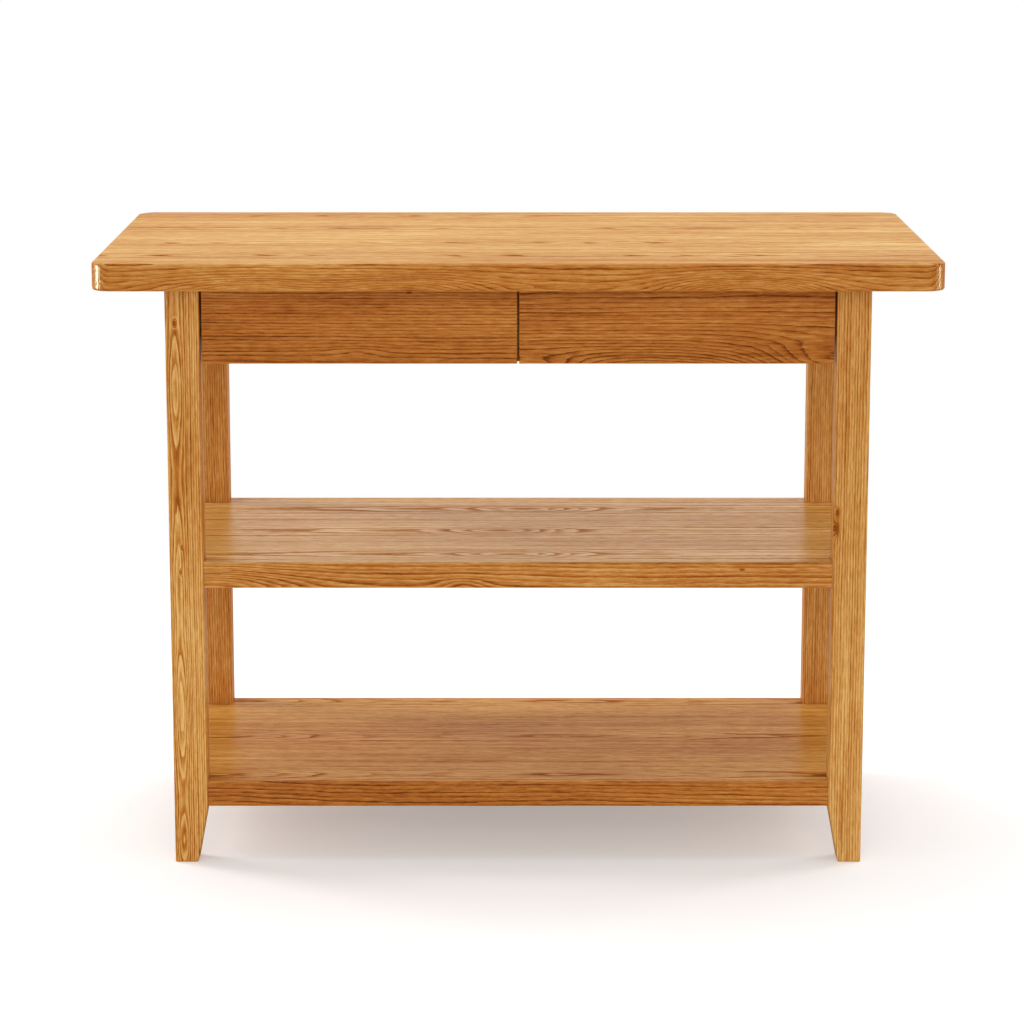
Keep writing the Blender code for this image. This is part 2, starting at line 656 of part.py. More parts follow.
def make_drawer_bottom(side, plywood, axis):
    """A thin panel in the grooves of the sides, with a narrower tongue in the groove of the front."""
    left, right = drawer_inside(side)
    reach = PANEL_GROOVE_DEPTH - SEAT_GAP
    shoulder_y = SIDE_FRONT_Y + PANEL_GROOVE_STOP + SEAT_GAP
    tongue_y = FRONT_BACK_Y - PANEL_GROOVE_DEPTH + SEAT_GAP
    outline = [
        (left + SEAT_GAP, tongue_y),
        (right - SEAT_GAP, tongue_y),
        (right - SEAT_GAP, shoulder_y),
        (right + reach, shoulder_y),
        (right + reach, SIDE_REAR_Y),
        (left - reach, SIDE_REAR_Y),
        (left - reach, shoulder_y),
        (left + SEAT_GAP, shoulder_y),
    ]
    shape = prism(outline, "Z", PANEL_BOTTOM_Z, PANEL_TOP_Z)
    origin = ((left + right) / 2, SIDE_FRONT_Y, PANEL_BOTTOM_Z)
    add(f"{SIDE_NAMES[side]}_drawer_bottom", shape, plywood, origin, axis)


# Slides: sections of bent sheet, drawn as a depth from the mounting plane and a height


def raceway(depth, height, way):
    """A shallow arc that cups a ball from above (way 1) or from below (way -1)."""
    points = []
    for i in range(RACEWAY_STEPS + 1):
        angle = RACEWAY_HALF_ANGLE * (2 * i / RACEWAY_STEPS - 1)
        across = depth + RACEWAY_RADIUS * math.sin(angle)
        points.append((across, height + way * RACEWAY_RADIUS * math.cos(angle)))
    return points


def cabinet_rail_path():
    """The middle line of the cabinet rail's sheet, from its web to its upper edge."""
    flange = OUTER_BALL_HEIGHT + RACEWAY_LIFT
    cup = raceway(OUTER_BALL_DEPTH, OUTER_BALL_HEIGHT, 1)
    return [(RAIL_SHEET / 2, flange), *cup, (RAIL_EDGE, flange)]


def middle_rail_path():
    """The middle rail cups the inner balls from above and the outer balls from below."""
    flange = INNER_BALL_HEIGHT + RACEWAY_LIFT
    inner_cup = raceway(INNER_BALL_DEPTH, INNER_BALL_HEIGHT, 1)
    outer_cup = raceway(OUTER_BALL_DEPTH, OUTER_BALL_HEIGHT, -1)
    web = MIDDLE_RAIL_DEPTH + RAIL_SHEET / 2
    return [(web, flange), *inner_cup, *outer_cup[1:], (RAIL_EDGE, flange)]


def drawer_rail_path():
    """The drawer rail opens the other way, with its web on the drawer's side."""
    flange = INNER_BALL_HEIGHT - RACEWAY_LIFT
    cup = raceway(INNER_BALL_DEPTH, INNER_BALL_HEIGHT, -1)
    return [(SLIDE_WIDTH - RAIL_SHEET / 2, flange), *reversed(cup), (DRAWER_RAIL_EDGE, flange)]


def cage_path(depth, ball_depth, ball_height):
    """A cage is a plain channel whose flanges end part way round the balls that they hold."""
    edge = ball_depth + BALL_DIAMETER / 4
    return [(depth + CAGE_SHEET / 2, ball_height), (edge, ball_height)]


def sheet_section(upper_path, sheet):
    """The outline of a bent sheet whose lower half mirrors the given upper half."""
    lower_path = [(depth, -height) for depth, height in reversed(upper_path)]
    path = [Vector(point) for point in lower_path + list(upper_path)]
    steps = [(b - a).normalized() for a, b in zip(path, path[1:])]
    one_side = []
    other_side = []
    for i, point in enumerate(path):
        before = steps[max(i - 1, 0)]
        after = steps[min(i, len(steps) - 1)]
        across = (before + after).normalized().orthogonal()
        reach = sheet / 2 / max(across.dot(after.orthogonal()), 0.1)
        one_side.append(point + across * reach)
        other_side.append(point - across * reach)
    return one_side + other_side[::-1]


def add_strip(name, section, mount, start, end, steel, axis):
    """A bent sheet along the slide, between two places, on a mounting plane."""
    plane, inward = mount
    outline = [(plane + inward * depth, SLIDE_Z + height) for depth, height in section]
    return add(name, prism(outline, "Y", start, end), steel, (plane, start, SLIDE_Z), axis)


def cage_balls(mount, ball_depth, ball_height, start, end):
    """The upper and lower row of balls that a cage holds."""
    plane, inward = mount
    first = start + BALL_END_MARGIN
    step = (end - start - 2 * BALL_END_MARGIN) / (BALLS_PER_ROW - 1)
    balls = []
    for row in (-1, 1):
        for i in range(BALLS_PER_ROW):
            ball = bmesh.new()
            bmesh.ops.create_uvsphere(
                ball, u_segments=BALL_SEGMENTS, v_segments=BALL_RINGS, radius=BALL_DIAMETER / 2
            )
            place = (plane + inward * ball_depth, first + i * step, SLIDE_Z + row * ball_height)
            ball.transform(Matrix.Translation(place))
            balls.append(ball)
    return joined(balls)


def make_cage(name, depth, ball_depth, ball_height, mount, steel, axis):
    """A channel of thin strip in the middle of the slide, with the balls held in its flanges."""
    middle = (SLIDE_FRONT_Y + SLIDE_BACK_Y) / 2
    start = middle - CAGE_LENGTH / 2
    end = middle + CAGE_LENGTH / 2
    section = sheet_section(cage_path(depth, ball_depth, ball_height), CAGE_SHEET)
    cage = add_strip(name, section, mount, start, end, steel, axis)
    combine(cage, "UNION", cage_balls(mount, ball_depth, ball_height, start, end), "balls")


def make_slide(side, hand, steel, axes):
    """One telescopic slide between the frame and a drawer side."""
    mount = drawer_bay(side)[hand]
    stem = f"{SIDE_NAMES[side]}_drawer_{SIDE_NAMES[hand]}_slide"
    paths = {
        "cabinet_rail": cabinet_rail_path(),
        "middle_rail": middle_rail_path(),
        "drawer_rail": drawer_rail_path(),
    }
    for part, path in paths.items():
        section = sheet_section(path, RAIL_SHEET)
        add_strip(f"{stem}_{part}", section, mount, SLIDE_FRONT_Y, SLIDE_BACK_Y, steel, axes.get(part))
    cages = {
        "outer_cage": (OUTER_CAGE_DEPTH, OUTER_BALL_DEPTH, OUTER_BALL_HEIGHT),
        "inner_cage": (INNER_CAGE_DEPTH, INNER_BALL_DEPTH, INNER_BALL_HEIGHT),
    }
    for part, sizes in cages.items():
        make_cage(f"{stem}_{part}", *sizes, mount, steel, axes[part])


def make_drawer(side, front_wood, box_wood, plywood, steel):
    """A drawer and its two slides, with an empty for each body that moves with it."""
    name = SIDE_NAMES[side]
    middle = (side * LEG_INNER_X / 2, SLIDE_FRONT_Y, SLIDE_Z)
    moving_parts = ("drawer_rail", "middle_rail", "outer_cage", "inner_cage")
    axes = {part: add_axis(f"{name}_{part}_axis", middle) for part in moving_parts}
    drawer_axis = axes["drawer_rail"]
    make_drawer_front(side, front_wood, drawer_axis)
    make_drawer_back(side, box_wood, drawer_axis)
    make_drawer_bottom(side, plywood, drawer_axis)
    for hand in SIDE_NAMES:
        make_drawer_side(side, hand, box_wood, drawer_axis)
        make_slide(side, hand, steel, axes)


def main():
    clear_scene()
    ash = make_material("ash", (0.55, 0.25, 0.07), 0.35)
    drawer_ash = make_material("drawer_ash", (0.66, 0.42, 0.19), 0.45)
    plywood = make_material("plywood", (0.68, 0.48, 0.26), 0.55)
    beech = make_material("beech", (0.64, 0.40, 0.21), 0.6)
    steel = make_material("zinc_steel", (0.62, 0.63, 0.64), 0.35, 1.0)

    make_tabletop(ash)
    for side in SIDE_NAMES:
        make_side_apron(side, ash)
        make_slide_batten(side, beech)
        for end in END_NAMES:
            make_leg(side, end, ash)
            for shelf in SHELF_HEIGHTS:
                make_dowel(shelf, side, end, beech)
    make_rear_apron(ash)
    make_front_rail(ash)
    make_divider(ash)
    for shelf in SHELF_HEIGHTS:
        make_shelf(shelf, ash)
    for place in clip_places():
        make_clip(place, steel)
    for side in SIDE_NAMES:
        make_drawer(side, ash, drawer_ash, plywood, steel)


main()
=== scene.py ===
"""Looks of the kitchen island: lacquered ash, plywood and steel finishes, the screws that hold it
together, a plain pale studio and the camera. Metres, in the same frame as the solids."""

import json
import math
from dataclasses import dataclass

import bmesh
import bpy
from mathutils import Matrix, Vector

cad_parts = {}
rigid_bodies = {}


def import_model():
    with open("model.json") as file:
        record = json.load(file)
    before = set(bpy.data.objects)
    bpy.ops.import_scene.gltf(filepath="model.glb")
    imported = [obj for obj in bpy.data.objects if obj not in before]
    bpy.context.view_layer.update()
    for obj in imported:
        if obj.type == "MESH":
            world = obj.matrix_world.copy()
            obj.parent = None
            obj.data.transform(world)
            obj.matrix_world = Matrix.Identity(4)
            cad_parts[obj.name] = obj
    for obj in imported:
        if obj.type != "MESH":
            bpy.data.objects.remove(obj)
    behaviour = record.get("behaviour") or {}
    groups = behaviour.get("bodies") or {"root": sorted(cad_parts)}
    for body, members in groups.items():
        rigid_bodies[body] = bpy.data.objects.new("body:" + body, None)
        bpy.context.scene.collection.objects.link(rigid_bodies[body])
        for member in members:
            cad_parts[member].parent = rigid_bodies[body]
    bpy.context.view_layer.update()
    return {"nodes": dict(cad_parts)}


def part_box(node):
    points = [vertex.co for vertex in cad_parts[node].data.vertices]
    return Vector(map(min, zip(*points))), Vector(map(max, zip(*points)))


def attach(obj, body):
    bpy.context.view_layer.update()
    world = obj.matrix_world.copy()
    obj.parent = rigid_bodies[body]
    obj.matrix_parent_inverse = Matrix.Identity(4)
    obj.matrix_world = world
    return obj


for old in list(bpy.data.objects):
    bpy.data.objects.remove(old, do_unlink=True)
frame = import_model()

# Camera, found from points of the photograph. The lens and the sensor are in millimetres.
CAMERA_PLACE = (-0.009, -4.602, 1.5105)
CAMERA_TILT = math.radians(10.24)
CAMERA_LENS = 107.3
CAMERA_SENSOR = 36.0
CAMERA_SHIFT = -0.12

# Studio: how far from the middle the floor fades into the white and how far it lies under the feet, its
# grey and its glow, the fill light, the dim front of the studio in reflections, and the cards' beams
WHITE = (1.0, 1.0, 1.0)
FLOOR_FADE_START = 0.9
FLOOR_FADE_END = 2.4
FLOOR_DROP = 0.0002
FLOOR_GREY = 0.82
FLOOR_LIFT = 0.30
FILL_LIGHT = 0.50
FRONT_GLOSS = 0.12
GLOSS_DARKEST_Y = -0.7
GLOSS_WHITE_Y = 0.2
CARD_SPREAD = math.radians(28)
CARD_TINT = (0.76, 1.0, 0.80)

# Shading of the solids: points that are one point, and the angle from which an edge is sharp
SAME_POINT = 0.00001
SHARP_ANGLE = math.radians(40)


def linear(red, green, blue):
    """A colour given as on a screen, from 0 to 255, as the linear values that shaders use."""
    values = []
    for level in (red, green, blue):
        share = level / 255
        values.append(share / 12.92 if share <= 0.04045 else ((share + 0.055) / 1.055) ** 2.4)
    return (*values, 1.0)


def grey(value):
    return (value, value, value, 1.0)


# Colours of each wood, from its palest late growth to its darkest pores
ASH = ((0.0, linear(246, 200, 122)), (0.25, linear(223, 163, 86)), (0.45, linear(204, 132, 57)),
       (0.62, linear(187, 110, 41)), (0.80, linear(156, 84, 28)), (1.0, linear(108, 53, 16)))
# Paler, yellower copies of ASH that only the level faces of the top and of the shelves take: painted light,
# while their upright edges keep ASH
PAINTED_LIT_TOP_ASH = ((0.0, linear(244, 206, 142)), (0.25, linear(213, 168, 97)), (0.45, linear(198, 144, 67)),
             (0.62, linear(188, 112, 43)), (0.80, linear(156, 84, 28)), (1.0, linear(108, 53, 16)))
PAINTED_LIT_SHELF_ASH = ((0.0, linear(247, 206, 134)), (0.25, linear(223, 170, 93)), (0.45, linear(204, 144, 63)),
             (0.62, linear(187, 119, 45)), (0.80, linear(160, 87, 29)), (1.0, linear(110, 54, 16)))
PALE_ASH = ((0.0, linear(242, 222, 184)), (0.34, linear(231, 203, 157)),
            (0.66, linear(206, 170, 120)), (1.0, linear(150, 112, 72)))
BIRCH = ((0.0, linear(240, 221, 188)), (0.34, linear(230, 205, 166)),
         (0.66, linear(214, 184, 142)), (1.0, linear(176, 138, 98)))
BEECH = ((0.0, linear(232, 196, 156)), (0.34, linear(219, 176, 132)),
         (0.66, linear(199, 150, 106)), (1.0, linear(150, 100, 64)))

# Strength of a year's dark early wood, from the start of the year to its end
EARLY_WOOD = ((0.0, grey(1.0)), (0.09, grey(0.95)), (0.22, grey(0.40)), (0.48, grey(0.12)),
              (0.90, grey(0.0)), (0.97, grey(0.1)), (1.0, grey(1.0)))
BROAD_EARLY_WOOD = ((0.0, grey(0.95)), (0.12, grey(1.0)), (0.32, grey(0.72)), (0.58, grey(0.25)),
                    (0.84, grey(0.0)), (0.94, grey(0.15)), (1.0, grey(0.95)))


@dataclass
class Feature:
    """A noise in a material: features per metre along the grain and across it, and its own seed."""

    along: float
    across: float
    seed: float
    detail: float
    roughness: float = 0.5


# Noises of wood: the waves and ripples bend its rings, and the others mostly shade it
WAVE = Feature(2.2, 9.0, 0.0, 2.0)
RIPPLE = Feature(15.0, 70.0, 4.4, 2.0)
FIBRE = Feature(8.0, 270.0, 3.1, 3.0, 0.65)
DASH = Feature(44.0, 340.0, 6.2, 3.0, 0.65)
PORE = Feature(150.0, 1100.0, 1.9, 1.0)
STREAK = Feature(1.2, 80.0, 5.7, 4.0, 0.55)
BLOTCH = Feature(2.4, 11.0, 8.3, 2.0)

# How much further each axis of a noise starts out than the one before it, as a share of the seed
SEED_STEP = 0.7

# Noises of plated steel
DRAWN_LINE = Feature(4.0, 900.0, 2.3, 2.0)
BLOOM = Feature(38.0, 60.0, 6.1, 3.0)

# Course and strength of the rings. A wander or ripple is a quarter of the noise's whole reach.
NOISE_REACH = 4.0
FIBRE_WAVER = 0.5
STREAK_WAVER = 0.8
KNOT_RINGS = 2.5
KNOT_STRETCH = 2.2
YEAR_STRENGTH = (0.40, 1.0)
LINE_STRENGTH = (0.55, 1.45)
PORE_EDGE = (0.54, 0.68)
PORE_STRENGTH = (0.4, 1.0)

# Shares of the wood's features in its shade, where 1 is the whole ramp of colours
PORE_SHADE = 0.10
FIBRE_SHADE = 0.50
DASH_SHADE = 0.75
BLOTCH_SHADE = 0.40
KNOT_SHADE = 0.55
MARK_DASHES = 1.2
MARK_FIBRES = 0.8

# How squarely a surface faces along an axis where it starts to count as end grain or as level, and
# where it fully does, and how much calmer the figure is on end grain and on the edges of a flat board
END_GRAIN = (0.6, 0.95)
LEVEL_FACE = (0.35, 0.9)
END_GRAIN_CALM = 0.6
EDGE_CALM = 0.6

# Lacquer, which is thinner on the dark lines and on upright faces, and the relief under it
SATIN = 0.42
DULL_SATIN = 0.45
BARE = 0.50
PORE_ROUGHNESS = 0.10
DASH_ROUGHNESS = 0.20
DARK_FIGURE = (0.05, 0.45)
COAT_LOST_ON_LINES = 0.8
COAT_LOST_UPRIGHT = 0.4
COAT_ROUGHNESS = 0.29
COAT_IOR = 1.45
RING_GROOVE = 0.4
PORE_GROOVE = 0.6
DASH_GROOVE = 0.8
FIBRE_GROOVE = 0.4
WOOD_RELIEF = 0.00007

# Steel, whose colour runs from dull to bright between two levels of its shade
DULL_STEEL = 0.72
DULL_LEVEL = 0.2
BRIGHT_LEVEL = 0.8
DRAWN_SHADE = 0.30
BLOOM_SHADE = 0.55
BLOOM_ROUGHNESS = 0.25
DRAWN_ROUGHNESS = 0.12
STEEL_RELIEF = 0.00001


class Field:
    """A number that varies over a surface. Sums of fields become shader nodes."""

    def __init__(self, graph, socket):
        self.graph = graph
        self.socket = socket

    def __add__(self, other):
        return self.graph.math("ADD", self, other)

    def __sub__(self, other):
        return self.graph.math("SUBTRACT", self, other)

    def __mul__(self, other):
        return self.graph.math("MULTIPLY", self, other)

    def __truediv__(self, other):
        return self.graph.math("DIVIDE", self, other)

    def squared(self):
        return self.graph.math("MULTIPLY", self, self)

    def root(self):
        return self.graph.math("SQRT", self)

    def floor(self):
        return self.graph.math("FLOOR", self)

    def absolute(self):
        return self.graph.math("ABSOLUTE", self)

    def decay(self):
        """e to the power of minus this number."""
        return self.graph.math("EXPONENT", self * -1.0)

    def rise(self, low, high):
        """0 below low, 1 above high, and smooth between them."""
        return self.graph.smooth_step(self, low, high)

    def centred(self):
        """A noise less its mean."""
        return self - 0.5

    def span(self, low, high):
        """Low where this is 0, and high where it is 1."""
        return self * (high - low) + low

    def fade(self, share=1.0):
        """1 where this is 0, less the share where it is 1."""
        return self * -share + 1.0


class Graph:
    """The node tree of one new material."""

    def __init__(self, name):
        self.material = bpy.data.materials.new(name)
        self.material.use_nodes = True
        self.tree = self.material.node_tree
        self.tree.nodes.clear()

    @classmethod
    def of_tree(cls, tree):
        """A graph on a tree that already exists, such as the world's."""
        graph = cls.__new__(cls)
        graph.tree = tree
        tree.nodes.clear()
        return graph

    def add(self, kind, inputs=None, **settings):
        node = self.tree.nodes.new(kind)
        for key, value in settings.items():
            setattr(node, key, value)
        for key, value in (inputs or {}).items():
            self.put(node.inputs[key], value)
        return node

    def put(self, socket, value):
        """Links a field or an output to a socket, or sets the socket to a plain value."""
        if isinstance(value, Field):
            value = value.socket
        if isinstance(value, bpy.types.NodeSocket):
            self.tree.links.new(value, socket)
        else:
            socket.default_value = value

    def math(self, operation, first, second=0.0):
        node = self.add("ShaderNodeMath", {0: first, 1: second}, operation=operation)
        return Field(self, node.outputs[0])

    def smooth_step(self, value, low, high):
        sockets = {"Value": value, "From Min": low, "From Max": high}
        node = self.add("ShaderNodeMapRange", sockets, interpolation_type="SMOOTHSTEP")
        return Field(self, node.outputs["Result"])

    def places(self, axes):
        """The object's own coordinates in metres, taken in the given order of axes."""
        coordinates = self.add("ShaderNodeTexCoord")
        parts = self.add("ShaderNodeSeparateXYZ", {0: coordinates.outputs["Object"]})
        return [Field(self, parts.outputs[i]) for i in axes]

    def facing(self, axis):
        """How squarely the surface faces along an axis of the object, from 0 to 1."""
        coordinates = self.add("ShaderNodeTexCoord")
        parts = self.add("ShaderNodeSeparateXYZ", {0: coordinates.outputs["Normal"]})
        return Field(self, parts.outputs[axis]).absolute()

    def noise(self, place, feature, seed=0.0):
        """Three even noises, about 0.5 each, with the feature's scales along and across the grain."""
        scales = (feature.along, feature.across, feature.across)
        start = seed + feature.seed
        vector = self.add("ShaderNodeCombineXYZ")
        for i, (field, scale) in enumerate(zip(place, scales)):
            self.put(vector.inputs[i], field * scale + start * (1.0 + SEED_STEP * i))
        sockets = {"Vector": vector.outputs[0], "Scale": 1.0, "Detail": feature.detail,
                   "Roughness": feature.roughness}
        texture = self.add("ShaderNodeTexNoise", sockets)
        parts = self.add("ShaderNodeSeparateColor", {0: texture.outputs["Color"]})
        return [Field(self, output) for output in parts.outputs]

    def chance(self, value):
        """An even random number from 0 to 1 for each different value."""
        texture = self.add("ShaderNodeTexWhiteNoise", {"W": value}, noise_dimensions="1D")
        return Field(self, texture.outputs["Value"])

    def ramp(self, value, stops, interpolation="LINEAR"):
        """The colour at a value, from stops of position and colour."""
        node = self.add("ShaderNodeValToRGB", {0: value})
        node.color_ramp.interpolation = interpolation
        elements = node.color_ramp.elements
        while len(elements) < len(stops):
            elements.new(1.0)
        for element, (position, colour) in zip(elements, stops):
            element.position = position
            element.color = colour
        return node.outputs["Color"]

    def mix(self, share, first, second):
        """A colour that goes from the first to the second with the share."""
        node = self.add("ShaderNodeMix", data_type="RGBA")
        for index, value in ((0, share), (6, first), (7, second)):
            self.put(node.inputs[index], value)
        return node.outputs[2]

    def surface(self, sockets, height, depth):
        """Ends the material in one surface with relief: the height is a share of the depth."""
        relief = self.add("ShaderNodeBump", {"Height": height, "Strength": 1.0, "Distance": depth})
        shader = self.add("ShaderNodeBsdfPrincipled", {**sockets, "Normal": relief.outputs[0]})
        output = self.add("ShaderNodeOutputMaterial")
        self.tree.links.new(shader.outputs[0], output.inputs["Surface"])
        return self.material


@dataclass
class Cut:
    """How a board was sawn from its log, in metres: u runs along the grain, v and w across it.

    Places are measured from the board's datum: the middle of its box along X, its front and its underside.

    pith: v and w of the log's middle. ring: width of a year. taper: growth of the rings along u.
    wander and ripple: how far the rings stray, the ripple in years. lines: darkness of the rings, which are
    thin or broad. streaks: strength of the long streaks.
    swells: ovals in the figure of every stave, (u, v from the pith, half length, half width, depth).
    bulges: single ovals, (u, v, w, half length, half size along v, half size along w, depth).
    marks: dark streaks in every stave, (u, v from the pith, half length, half width, darkness).
    knots: (u, v, w, radius). staves: edge-glued strips, (first v, v of the pith, shift along u, tone).
    tone: how dark the board is. The edge shade after it is painted shade: how much darker the upright edges
    of a flat board are painted than its level faces.
    """

    grain: str
    pith: tuple
    ring: float = 0.0040
    taper: float = 0.010
    wander: float = 0.004
    ripple: float = 0.5
    lines: float = 0.60
    broad: bool = False
    streaks: float = 0.40
    swells: tuple = ()
    bulges: tuple = ()
    marks: tuple = ()
    knots: tuple = ()
    staves: tuple = ()
    colours: tuple = ASH
    coat: float = 0.50
    tone: float = 0.0
    painted_edge_shade: float = 0.0
    seed: float = 0.0


# The object's axes along u, v and w, by the axis of the grain
AXES = {"X": (0, 1, 2), "Y": (1, 2, 0), "Z": (2, 0, 1)}
# Places and tones of staves lie between minus and plus this number, which a ramp holds as 0 to 1
STAVE_REACH = 0.5


def datum_of(name, grain):
    """The u, v and w of the middle of a node's box along X, its front and its underside."""
    low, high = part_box(name)
    corner = ((low[0] + high[0]) / 2, low[1], low[2])
    return [corner[axis] for axis in AXES[grain]]


def coded(number):
    return (number + STAVE_REACH) / (2 * STAVE_REACH)


def stave_values(graph, v, staves, front):
    """For each edge-glued stave, the v of its pith, its shift along the grain and its tone."""
    stops = []
    for start, pith, shift, tone in staves:
        stops.append((coded(front + start), (coded(front + pith), coded(shift), coded(tone), 1.0)))
    parts = graph.add("ShaderNodeSeparateColor", {0: graph.ramp(coded(v), stops, "CONSTANT")})
    return [Field(graph, output) * (2 * STAVE_REACH) - STAVE_REACH for output in parts.outputs]


def oval(offsets, sizes):
    """1 in the middle of a soft oval, falling to nothing over a few times its half sizes."""
    total = 0.0
    for offset, size in zip(offsets, sizes):
        total = (offset / size).squared() + total
    return total.decay()


def away(place, datum, spot):
    """How far each point lies from a spot of the board, along each of its axes."""
    return [field - (zero + number) for field, zero, number in zip(place, datum, spot)]


def beside_pith(place, datum, pith, start, side):
    """How far each point lies from a spot that is given by its side of the pith."""
    u, v, _ = place
    return u - (datum[0] + start), v - pith - side


def ring_distance(graph, place, cut, datum, pith):
    """Distance from the log's pith, with the waves, taper and ovals that figure the board."""
    u, v, w = place
    wave = graph.noise(place, WAVE, cut.seed)
    ripple = graph.noise(place, RIPPLE, cut.seed)
    across = v - pith + wave[0].centred() * (NOISE_REACH * cut.wander)
    inward = w - (datum[2] + cut.pith[1]) + wave[1].centred() * (NOISE_REACH * cut.wander)
    distance = (across.squared() + inward.squared()).root() + u * cut.taper
    distance = distance + ripple[0].centred() * (NOISE_REACH * cut.ripple * cut.ring)
    for start, side, length, width, depth in cut.swells:
        offsets = beside_pith(place, datum, pith, start, side)
        distance = distance - oval(offsets, (length, width)) * depth
    for start, side, level, length, width, height, depth in cut.bulges:
        offsets = away(place, datum, (start, side, level))
        distance = distance - oval(offsets, (length, width, height)) * depth
    return distance


def knot_spots(place, cut, datum):
    """1 in the middle of each knot, a soft spot drawn out along the grain, or 0 where there is none."""
    total = 0.0
    for start, side, level, radius in cut.knots:
        sizes = (KNOT_STRETCH * radius, radius, radius)
        total = oval(away(place, datum, (start, side, level)), sizes) + total
    return total


def mark_spots(place, cut, datum, pith):
    """The darkness of the streaks beside the pith, or 0 where there are none."""
    total = 0.0
    for start, side, length, width, darkness in cut.marks:
        offsets = beside_pith(place, datum, pith, start, side)
        total = oval(offsets, (length, width)) * darkness + total
    return total


def wood(name, cut, datum, gloss):
    """Solid wood whose rings, fibres and pores run through the board, under a satin lacquer."""
    graph = Graph(name)
    u, v, w = graph.places(AXES[cut.grain])
    pith = datum[1] + cut.pith[0]
    tone = cut.tone
    if cut.staves:
        pith, shift, stave_tone = stave_values(graph, v, cut.staves, datum[1])
        u = u + shift
        tone = stave_tone + cut.tone
    place = (u, v, w)
    fibre = graph.noise(place, FIBRE, cut.seed)
    dash = graph.noise(place, DASH, cut.seed)
    pore = graph.noise(place, PORE, cut.seed)
    streak = graph.noise(place, STREAK, cut.seed)
    blotch = graph.noise(place, BLOTCH, cut.seed)
    knot = knot_spots(place, cut, datum)
    mark = mark_spots(place, cut, datum, pith)

    distance = ring_distance(graph, place, cut, datum, pith) + knot * (KNOT_RINGS * cut.ring)
    years = distance / cut.ring + fibre[0].centred() * FIBRE_WAVER + streak[1].centred() * STREAK_WAVER
    year = years.floor()
    early = Field(graph, graph.ramp(years - year, BROAD_EARLY_WOOD if cut.broad else EARLY_WOOD))
    rings = early * graph.chance(year + cut.seed).span(*YEAR_STRENGTH) * dash[2].span(*LINE_STRENGTH)
    pores = pore[0].rise(*PORE_EDGE) * early.span(*PORE_STRENGTH)

    end_grain = graph.facing(AXES[cut.grain][0]).rise(*END_GRAIN)
    upright = graph.facing(2).rise(*LEVEL_FACE).fade()
    strands = fibre[1].centred() * FIBRE_SHADE + dash[0].centred() * DASH_SHADE
    streaks = streak[0].centred() * cut.streaks
    if cut.painted_edge_shade:
        streaks = streaks * upright.fade(EDGE_CALM)
    figure = rings * cut.lines + pores * PORE_SHADE + strands * end_grain.fade(END_GRAIN_CALM) + streaks
    figure = figure + knot * KNOT_SHADE + (dash[1] * MARK_DASHES + fibre[1] * MARK_FIBRES) * mark

    # Painted shade: on a flat board the upright edges are painted darker than the level faces by the edge
    # shade
    shade = figure + blotch[0].centred() * BLOTCH_SHADE + upright * cut.painted_edge_shade + tone
    colour = graph.ramp(shade, cut.colours)
    # Painted light: the level faces of a flat board keep its paler colours, and only its upright edges take
    # ASH
    if cut.painted_edge_shade:
        colour = graph.mix(upright, colour, graph.ramp(shade, ASH))
    lacquer = figure.rise(*DARK_FIGURE).fade(COAT_LOST_ON_LINES) * upright.fade(COAT_LOST_UPRIGHT) * cut.coat
    grooves = rings * RING_GROOVE + pores * PORE_GROOVE + dash[0] * DASH_GROOVE + fibre[2] * FIBRE_GROOVE
    sockets = {
        "Base Color": colour,
        "Roughness": pores * PORE_ROUGHNESS + dash[1].centred() * DASH_ROUGHNESS + gloss,
        "Specular IOR Level": 0.0,
        "Coat Weight": lacquer if cut.coat else 0.0,
        "Coat Roughness": COAT_ROUGHNESS,
        "Coat IOR": COAT_IOR,
    }
    return graph.surface(sockets, grooves * -1.0, WOOD_RELIEF)


def steel(name, colour, along, gloss):
    """Zinc-plated sheet steel, drawn lengthwise, with the faint bloom of its plating."""
    graph = Graph(name)
    place = graph.places(AXES[along])
    drawn = graph.noise(place, DRAWN_LINE)
    bloom = graph.noise(place, BLOOM)
    middle = (DULL_LEVEL + BRIGHT_LEVEL) / 2
    level = drawn[0].centred() * DRAWN_SHADE + bloom[0].centred() * BLOOM_SHADE + middle
    dull = tuple(DULL_STEEL * channel for channel in colour[:3]) + (1.0,)
    sockets = {
        "Base Color": graph.ramp(level, ((DULL_LEVEL, dull), (BRIGHT_LEVEL, colour))),
        "Metallic": 1.0,
        "Roughness": bloom[1].centred() * BLOOM_ROUGHNESS + drawn[1].centred() * DRAWN_ROUGHNESS + gloss,
    }
    return graph.surface(sockets, drawn[0], STEEL_RELIEF)


TOP_STAVES = (
    (-0.100, 0.089, 0.00, 0.03),
    (0.150, 0.229, 0.13, -0.05),
    (0.312, 0.401, -0.21, 0.00),
    (0.500, 0.560, 0.34, 0.03),
)
MIDDLE_STAVES = (
    (-0.050, 0.053, 0.000, -0.02),
    (0.131, 0.209, 0.015, 0.01),
    (0.286, 0.363, -0.020, 0.00),
)
LOWER_STAVES = (
    (-0.050, 0.033, 0.000, -0.02),
    (0.130, 0.232, 0.012, 0.02),
    (0.330, 0.429, -0.015, -0.02),
)
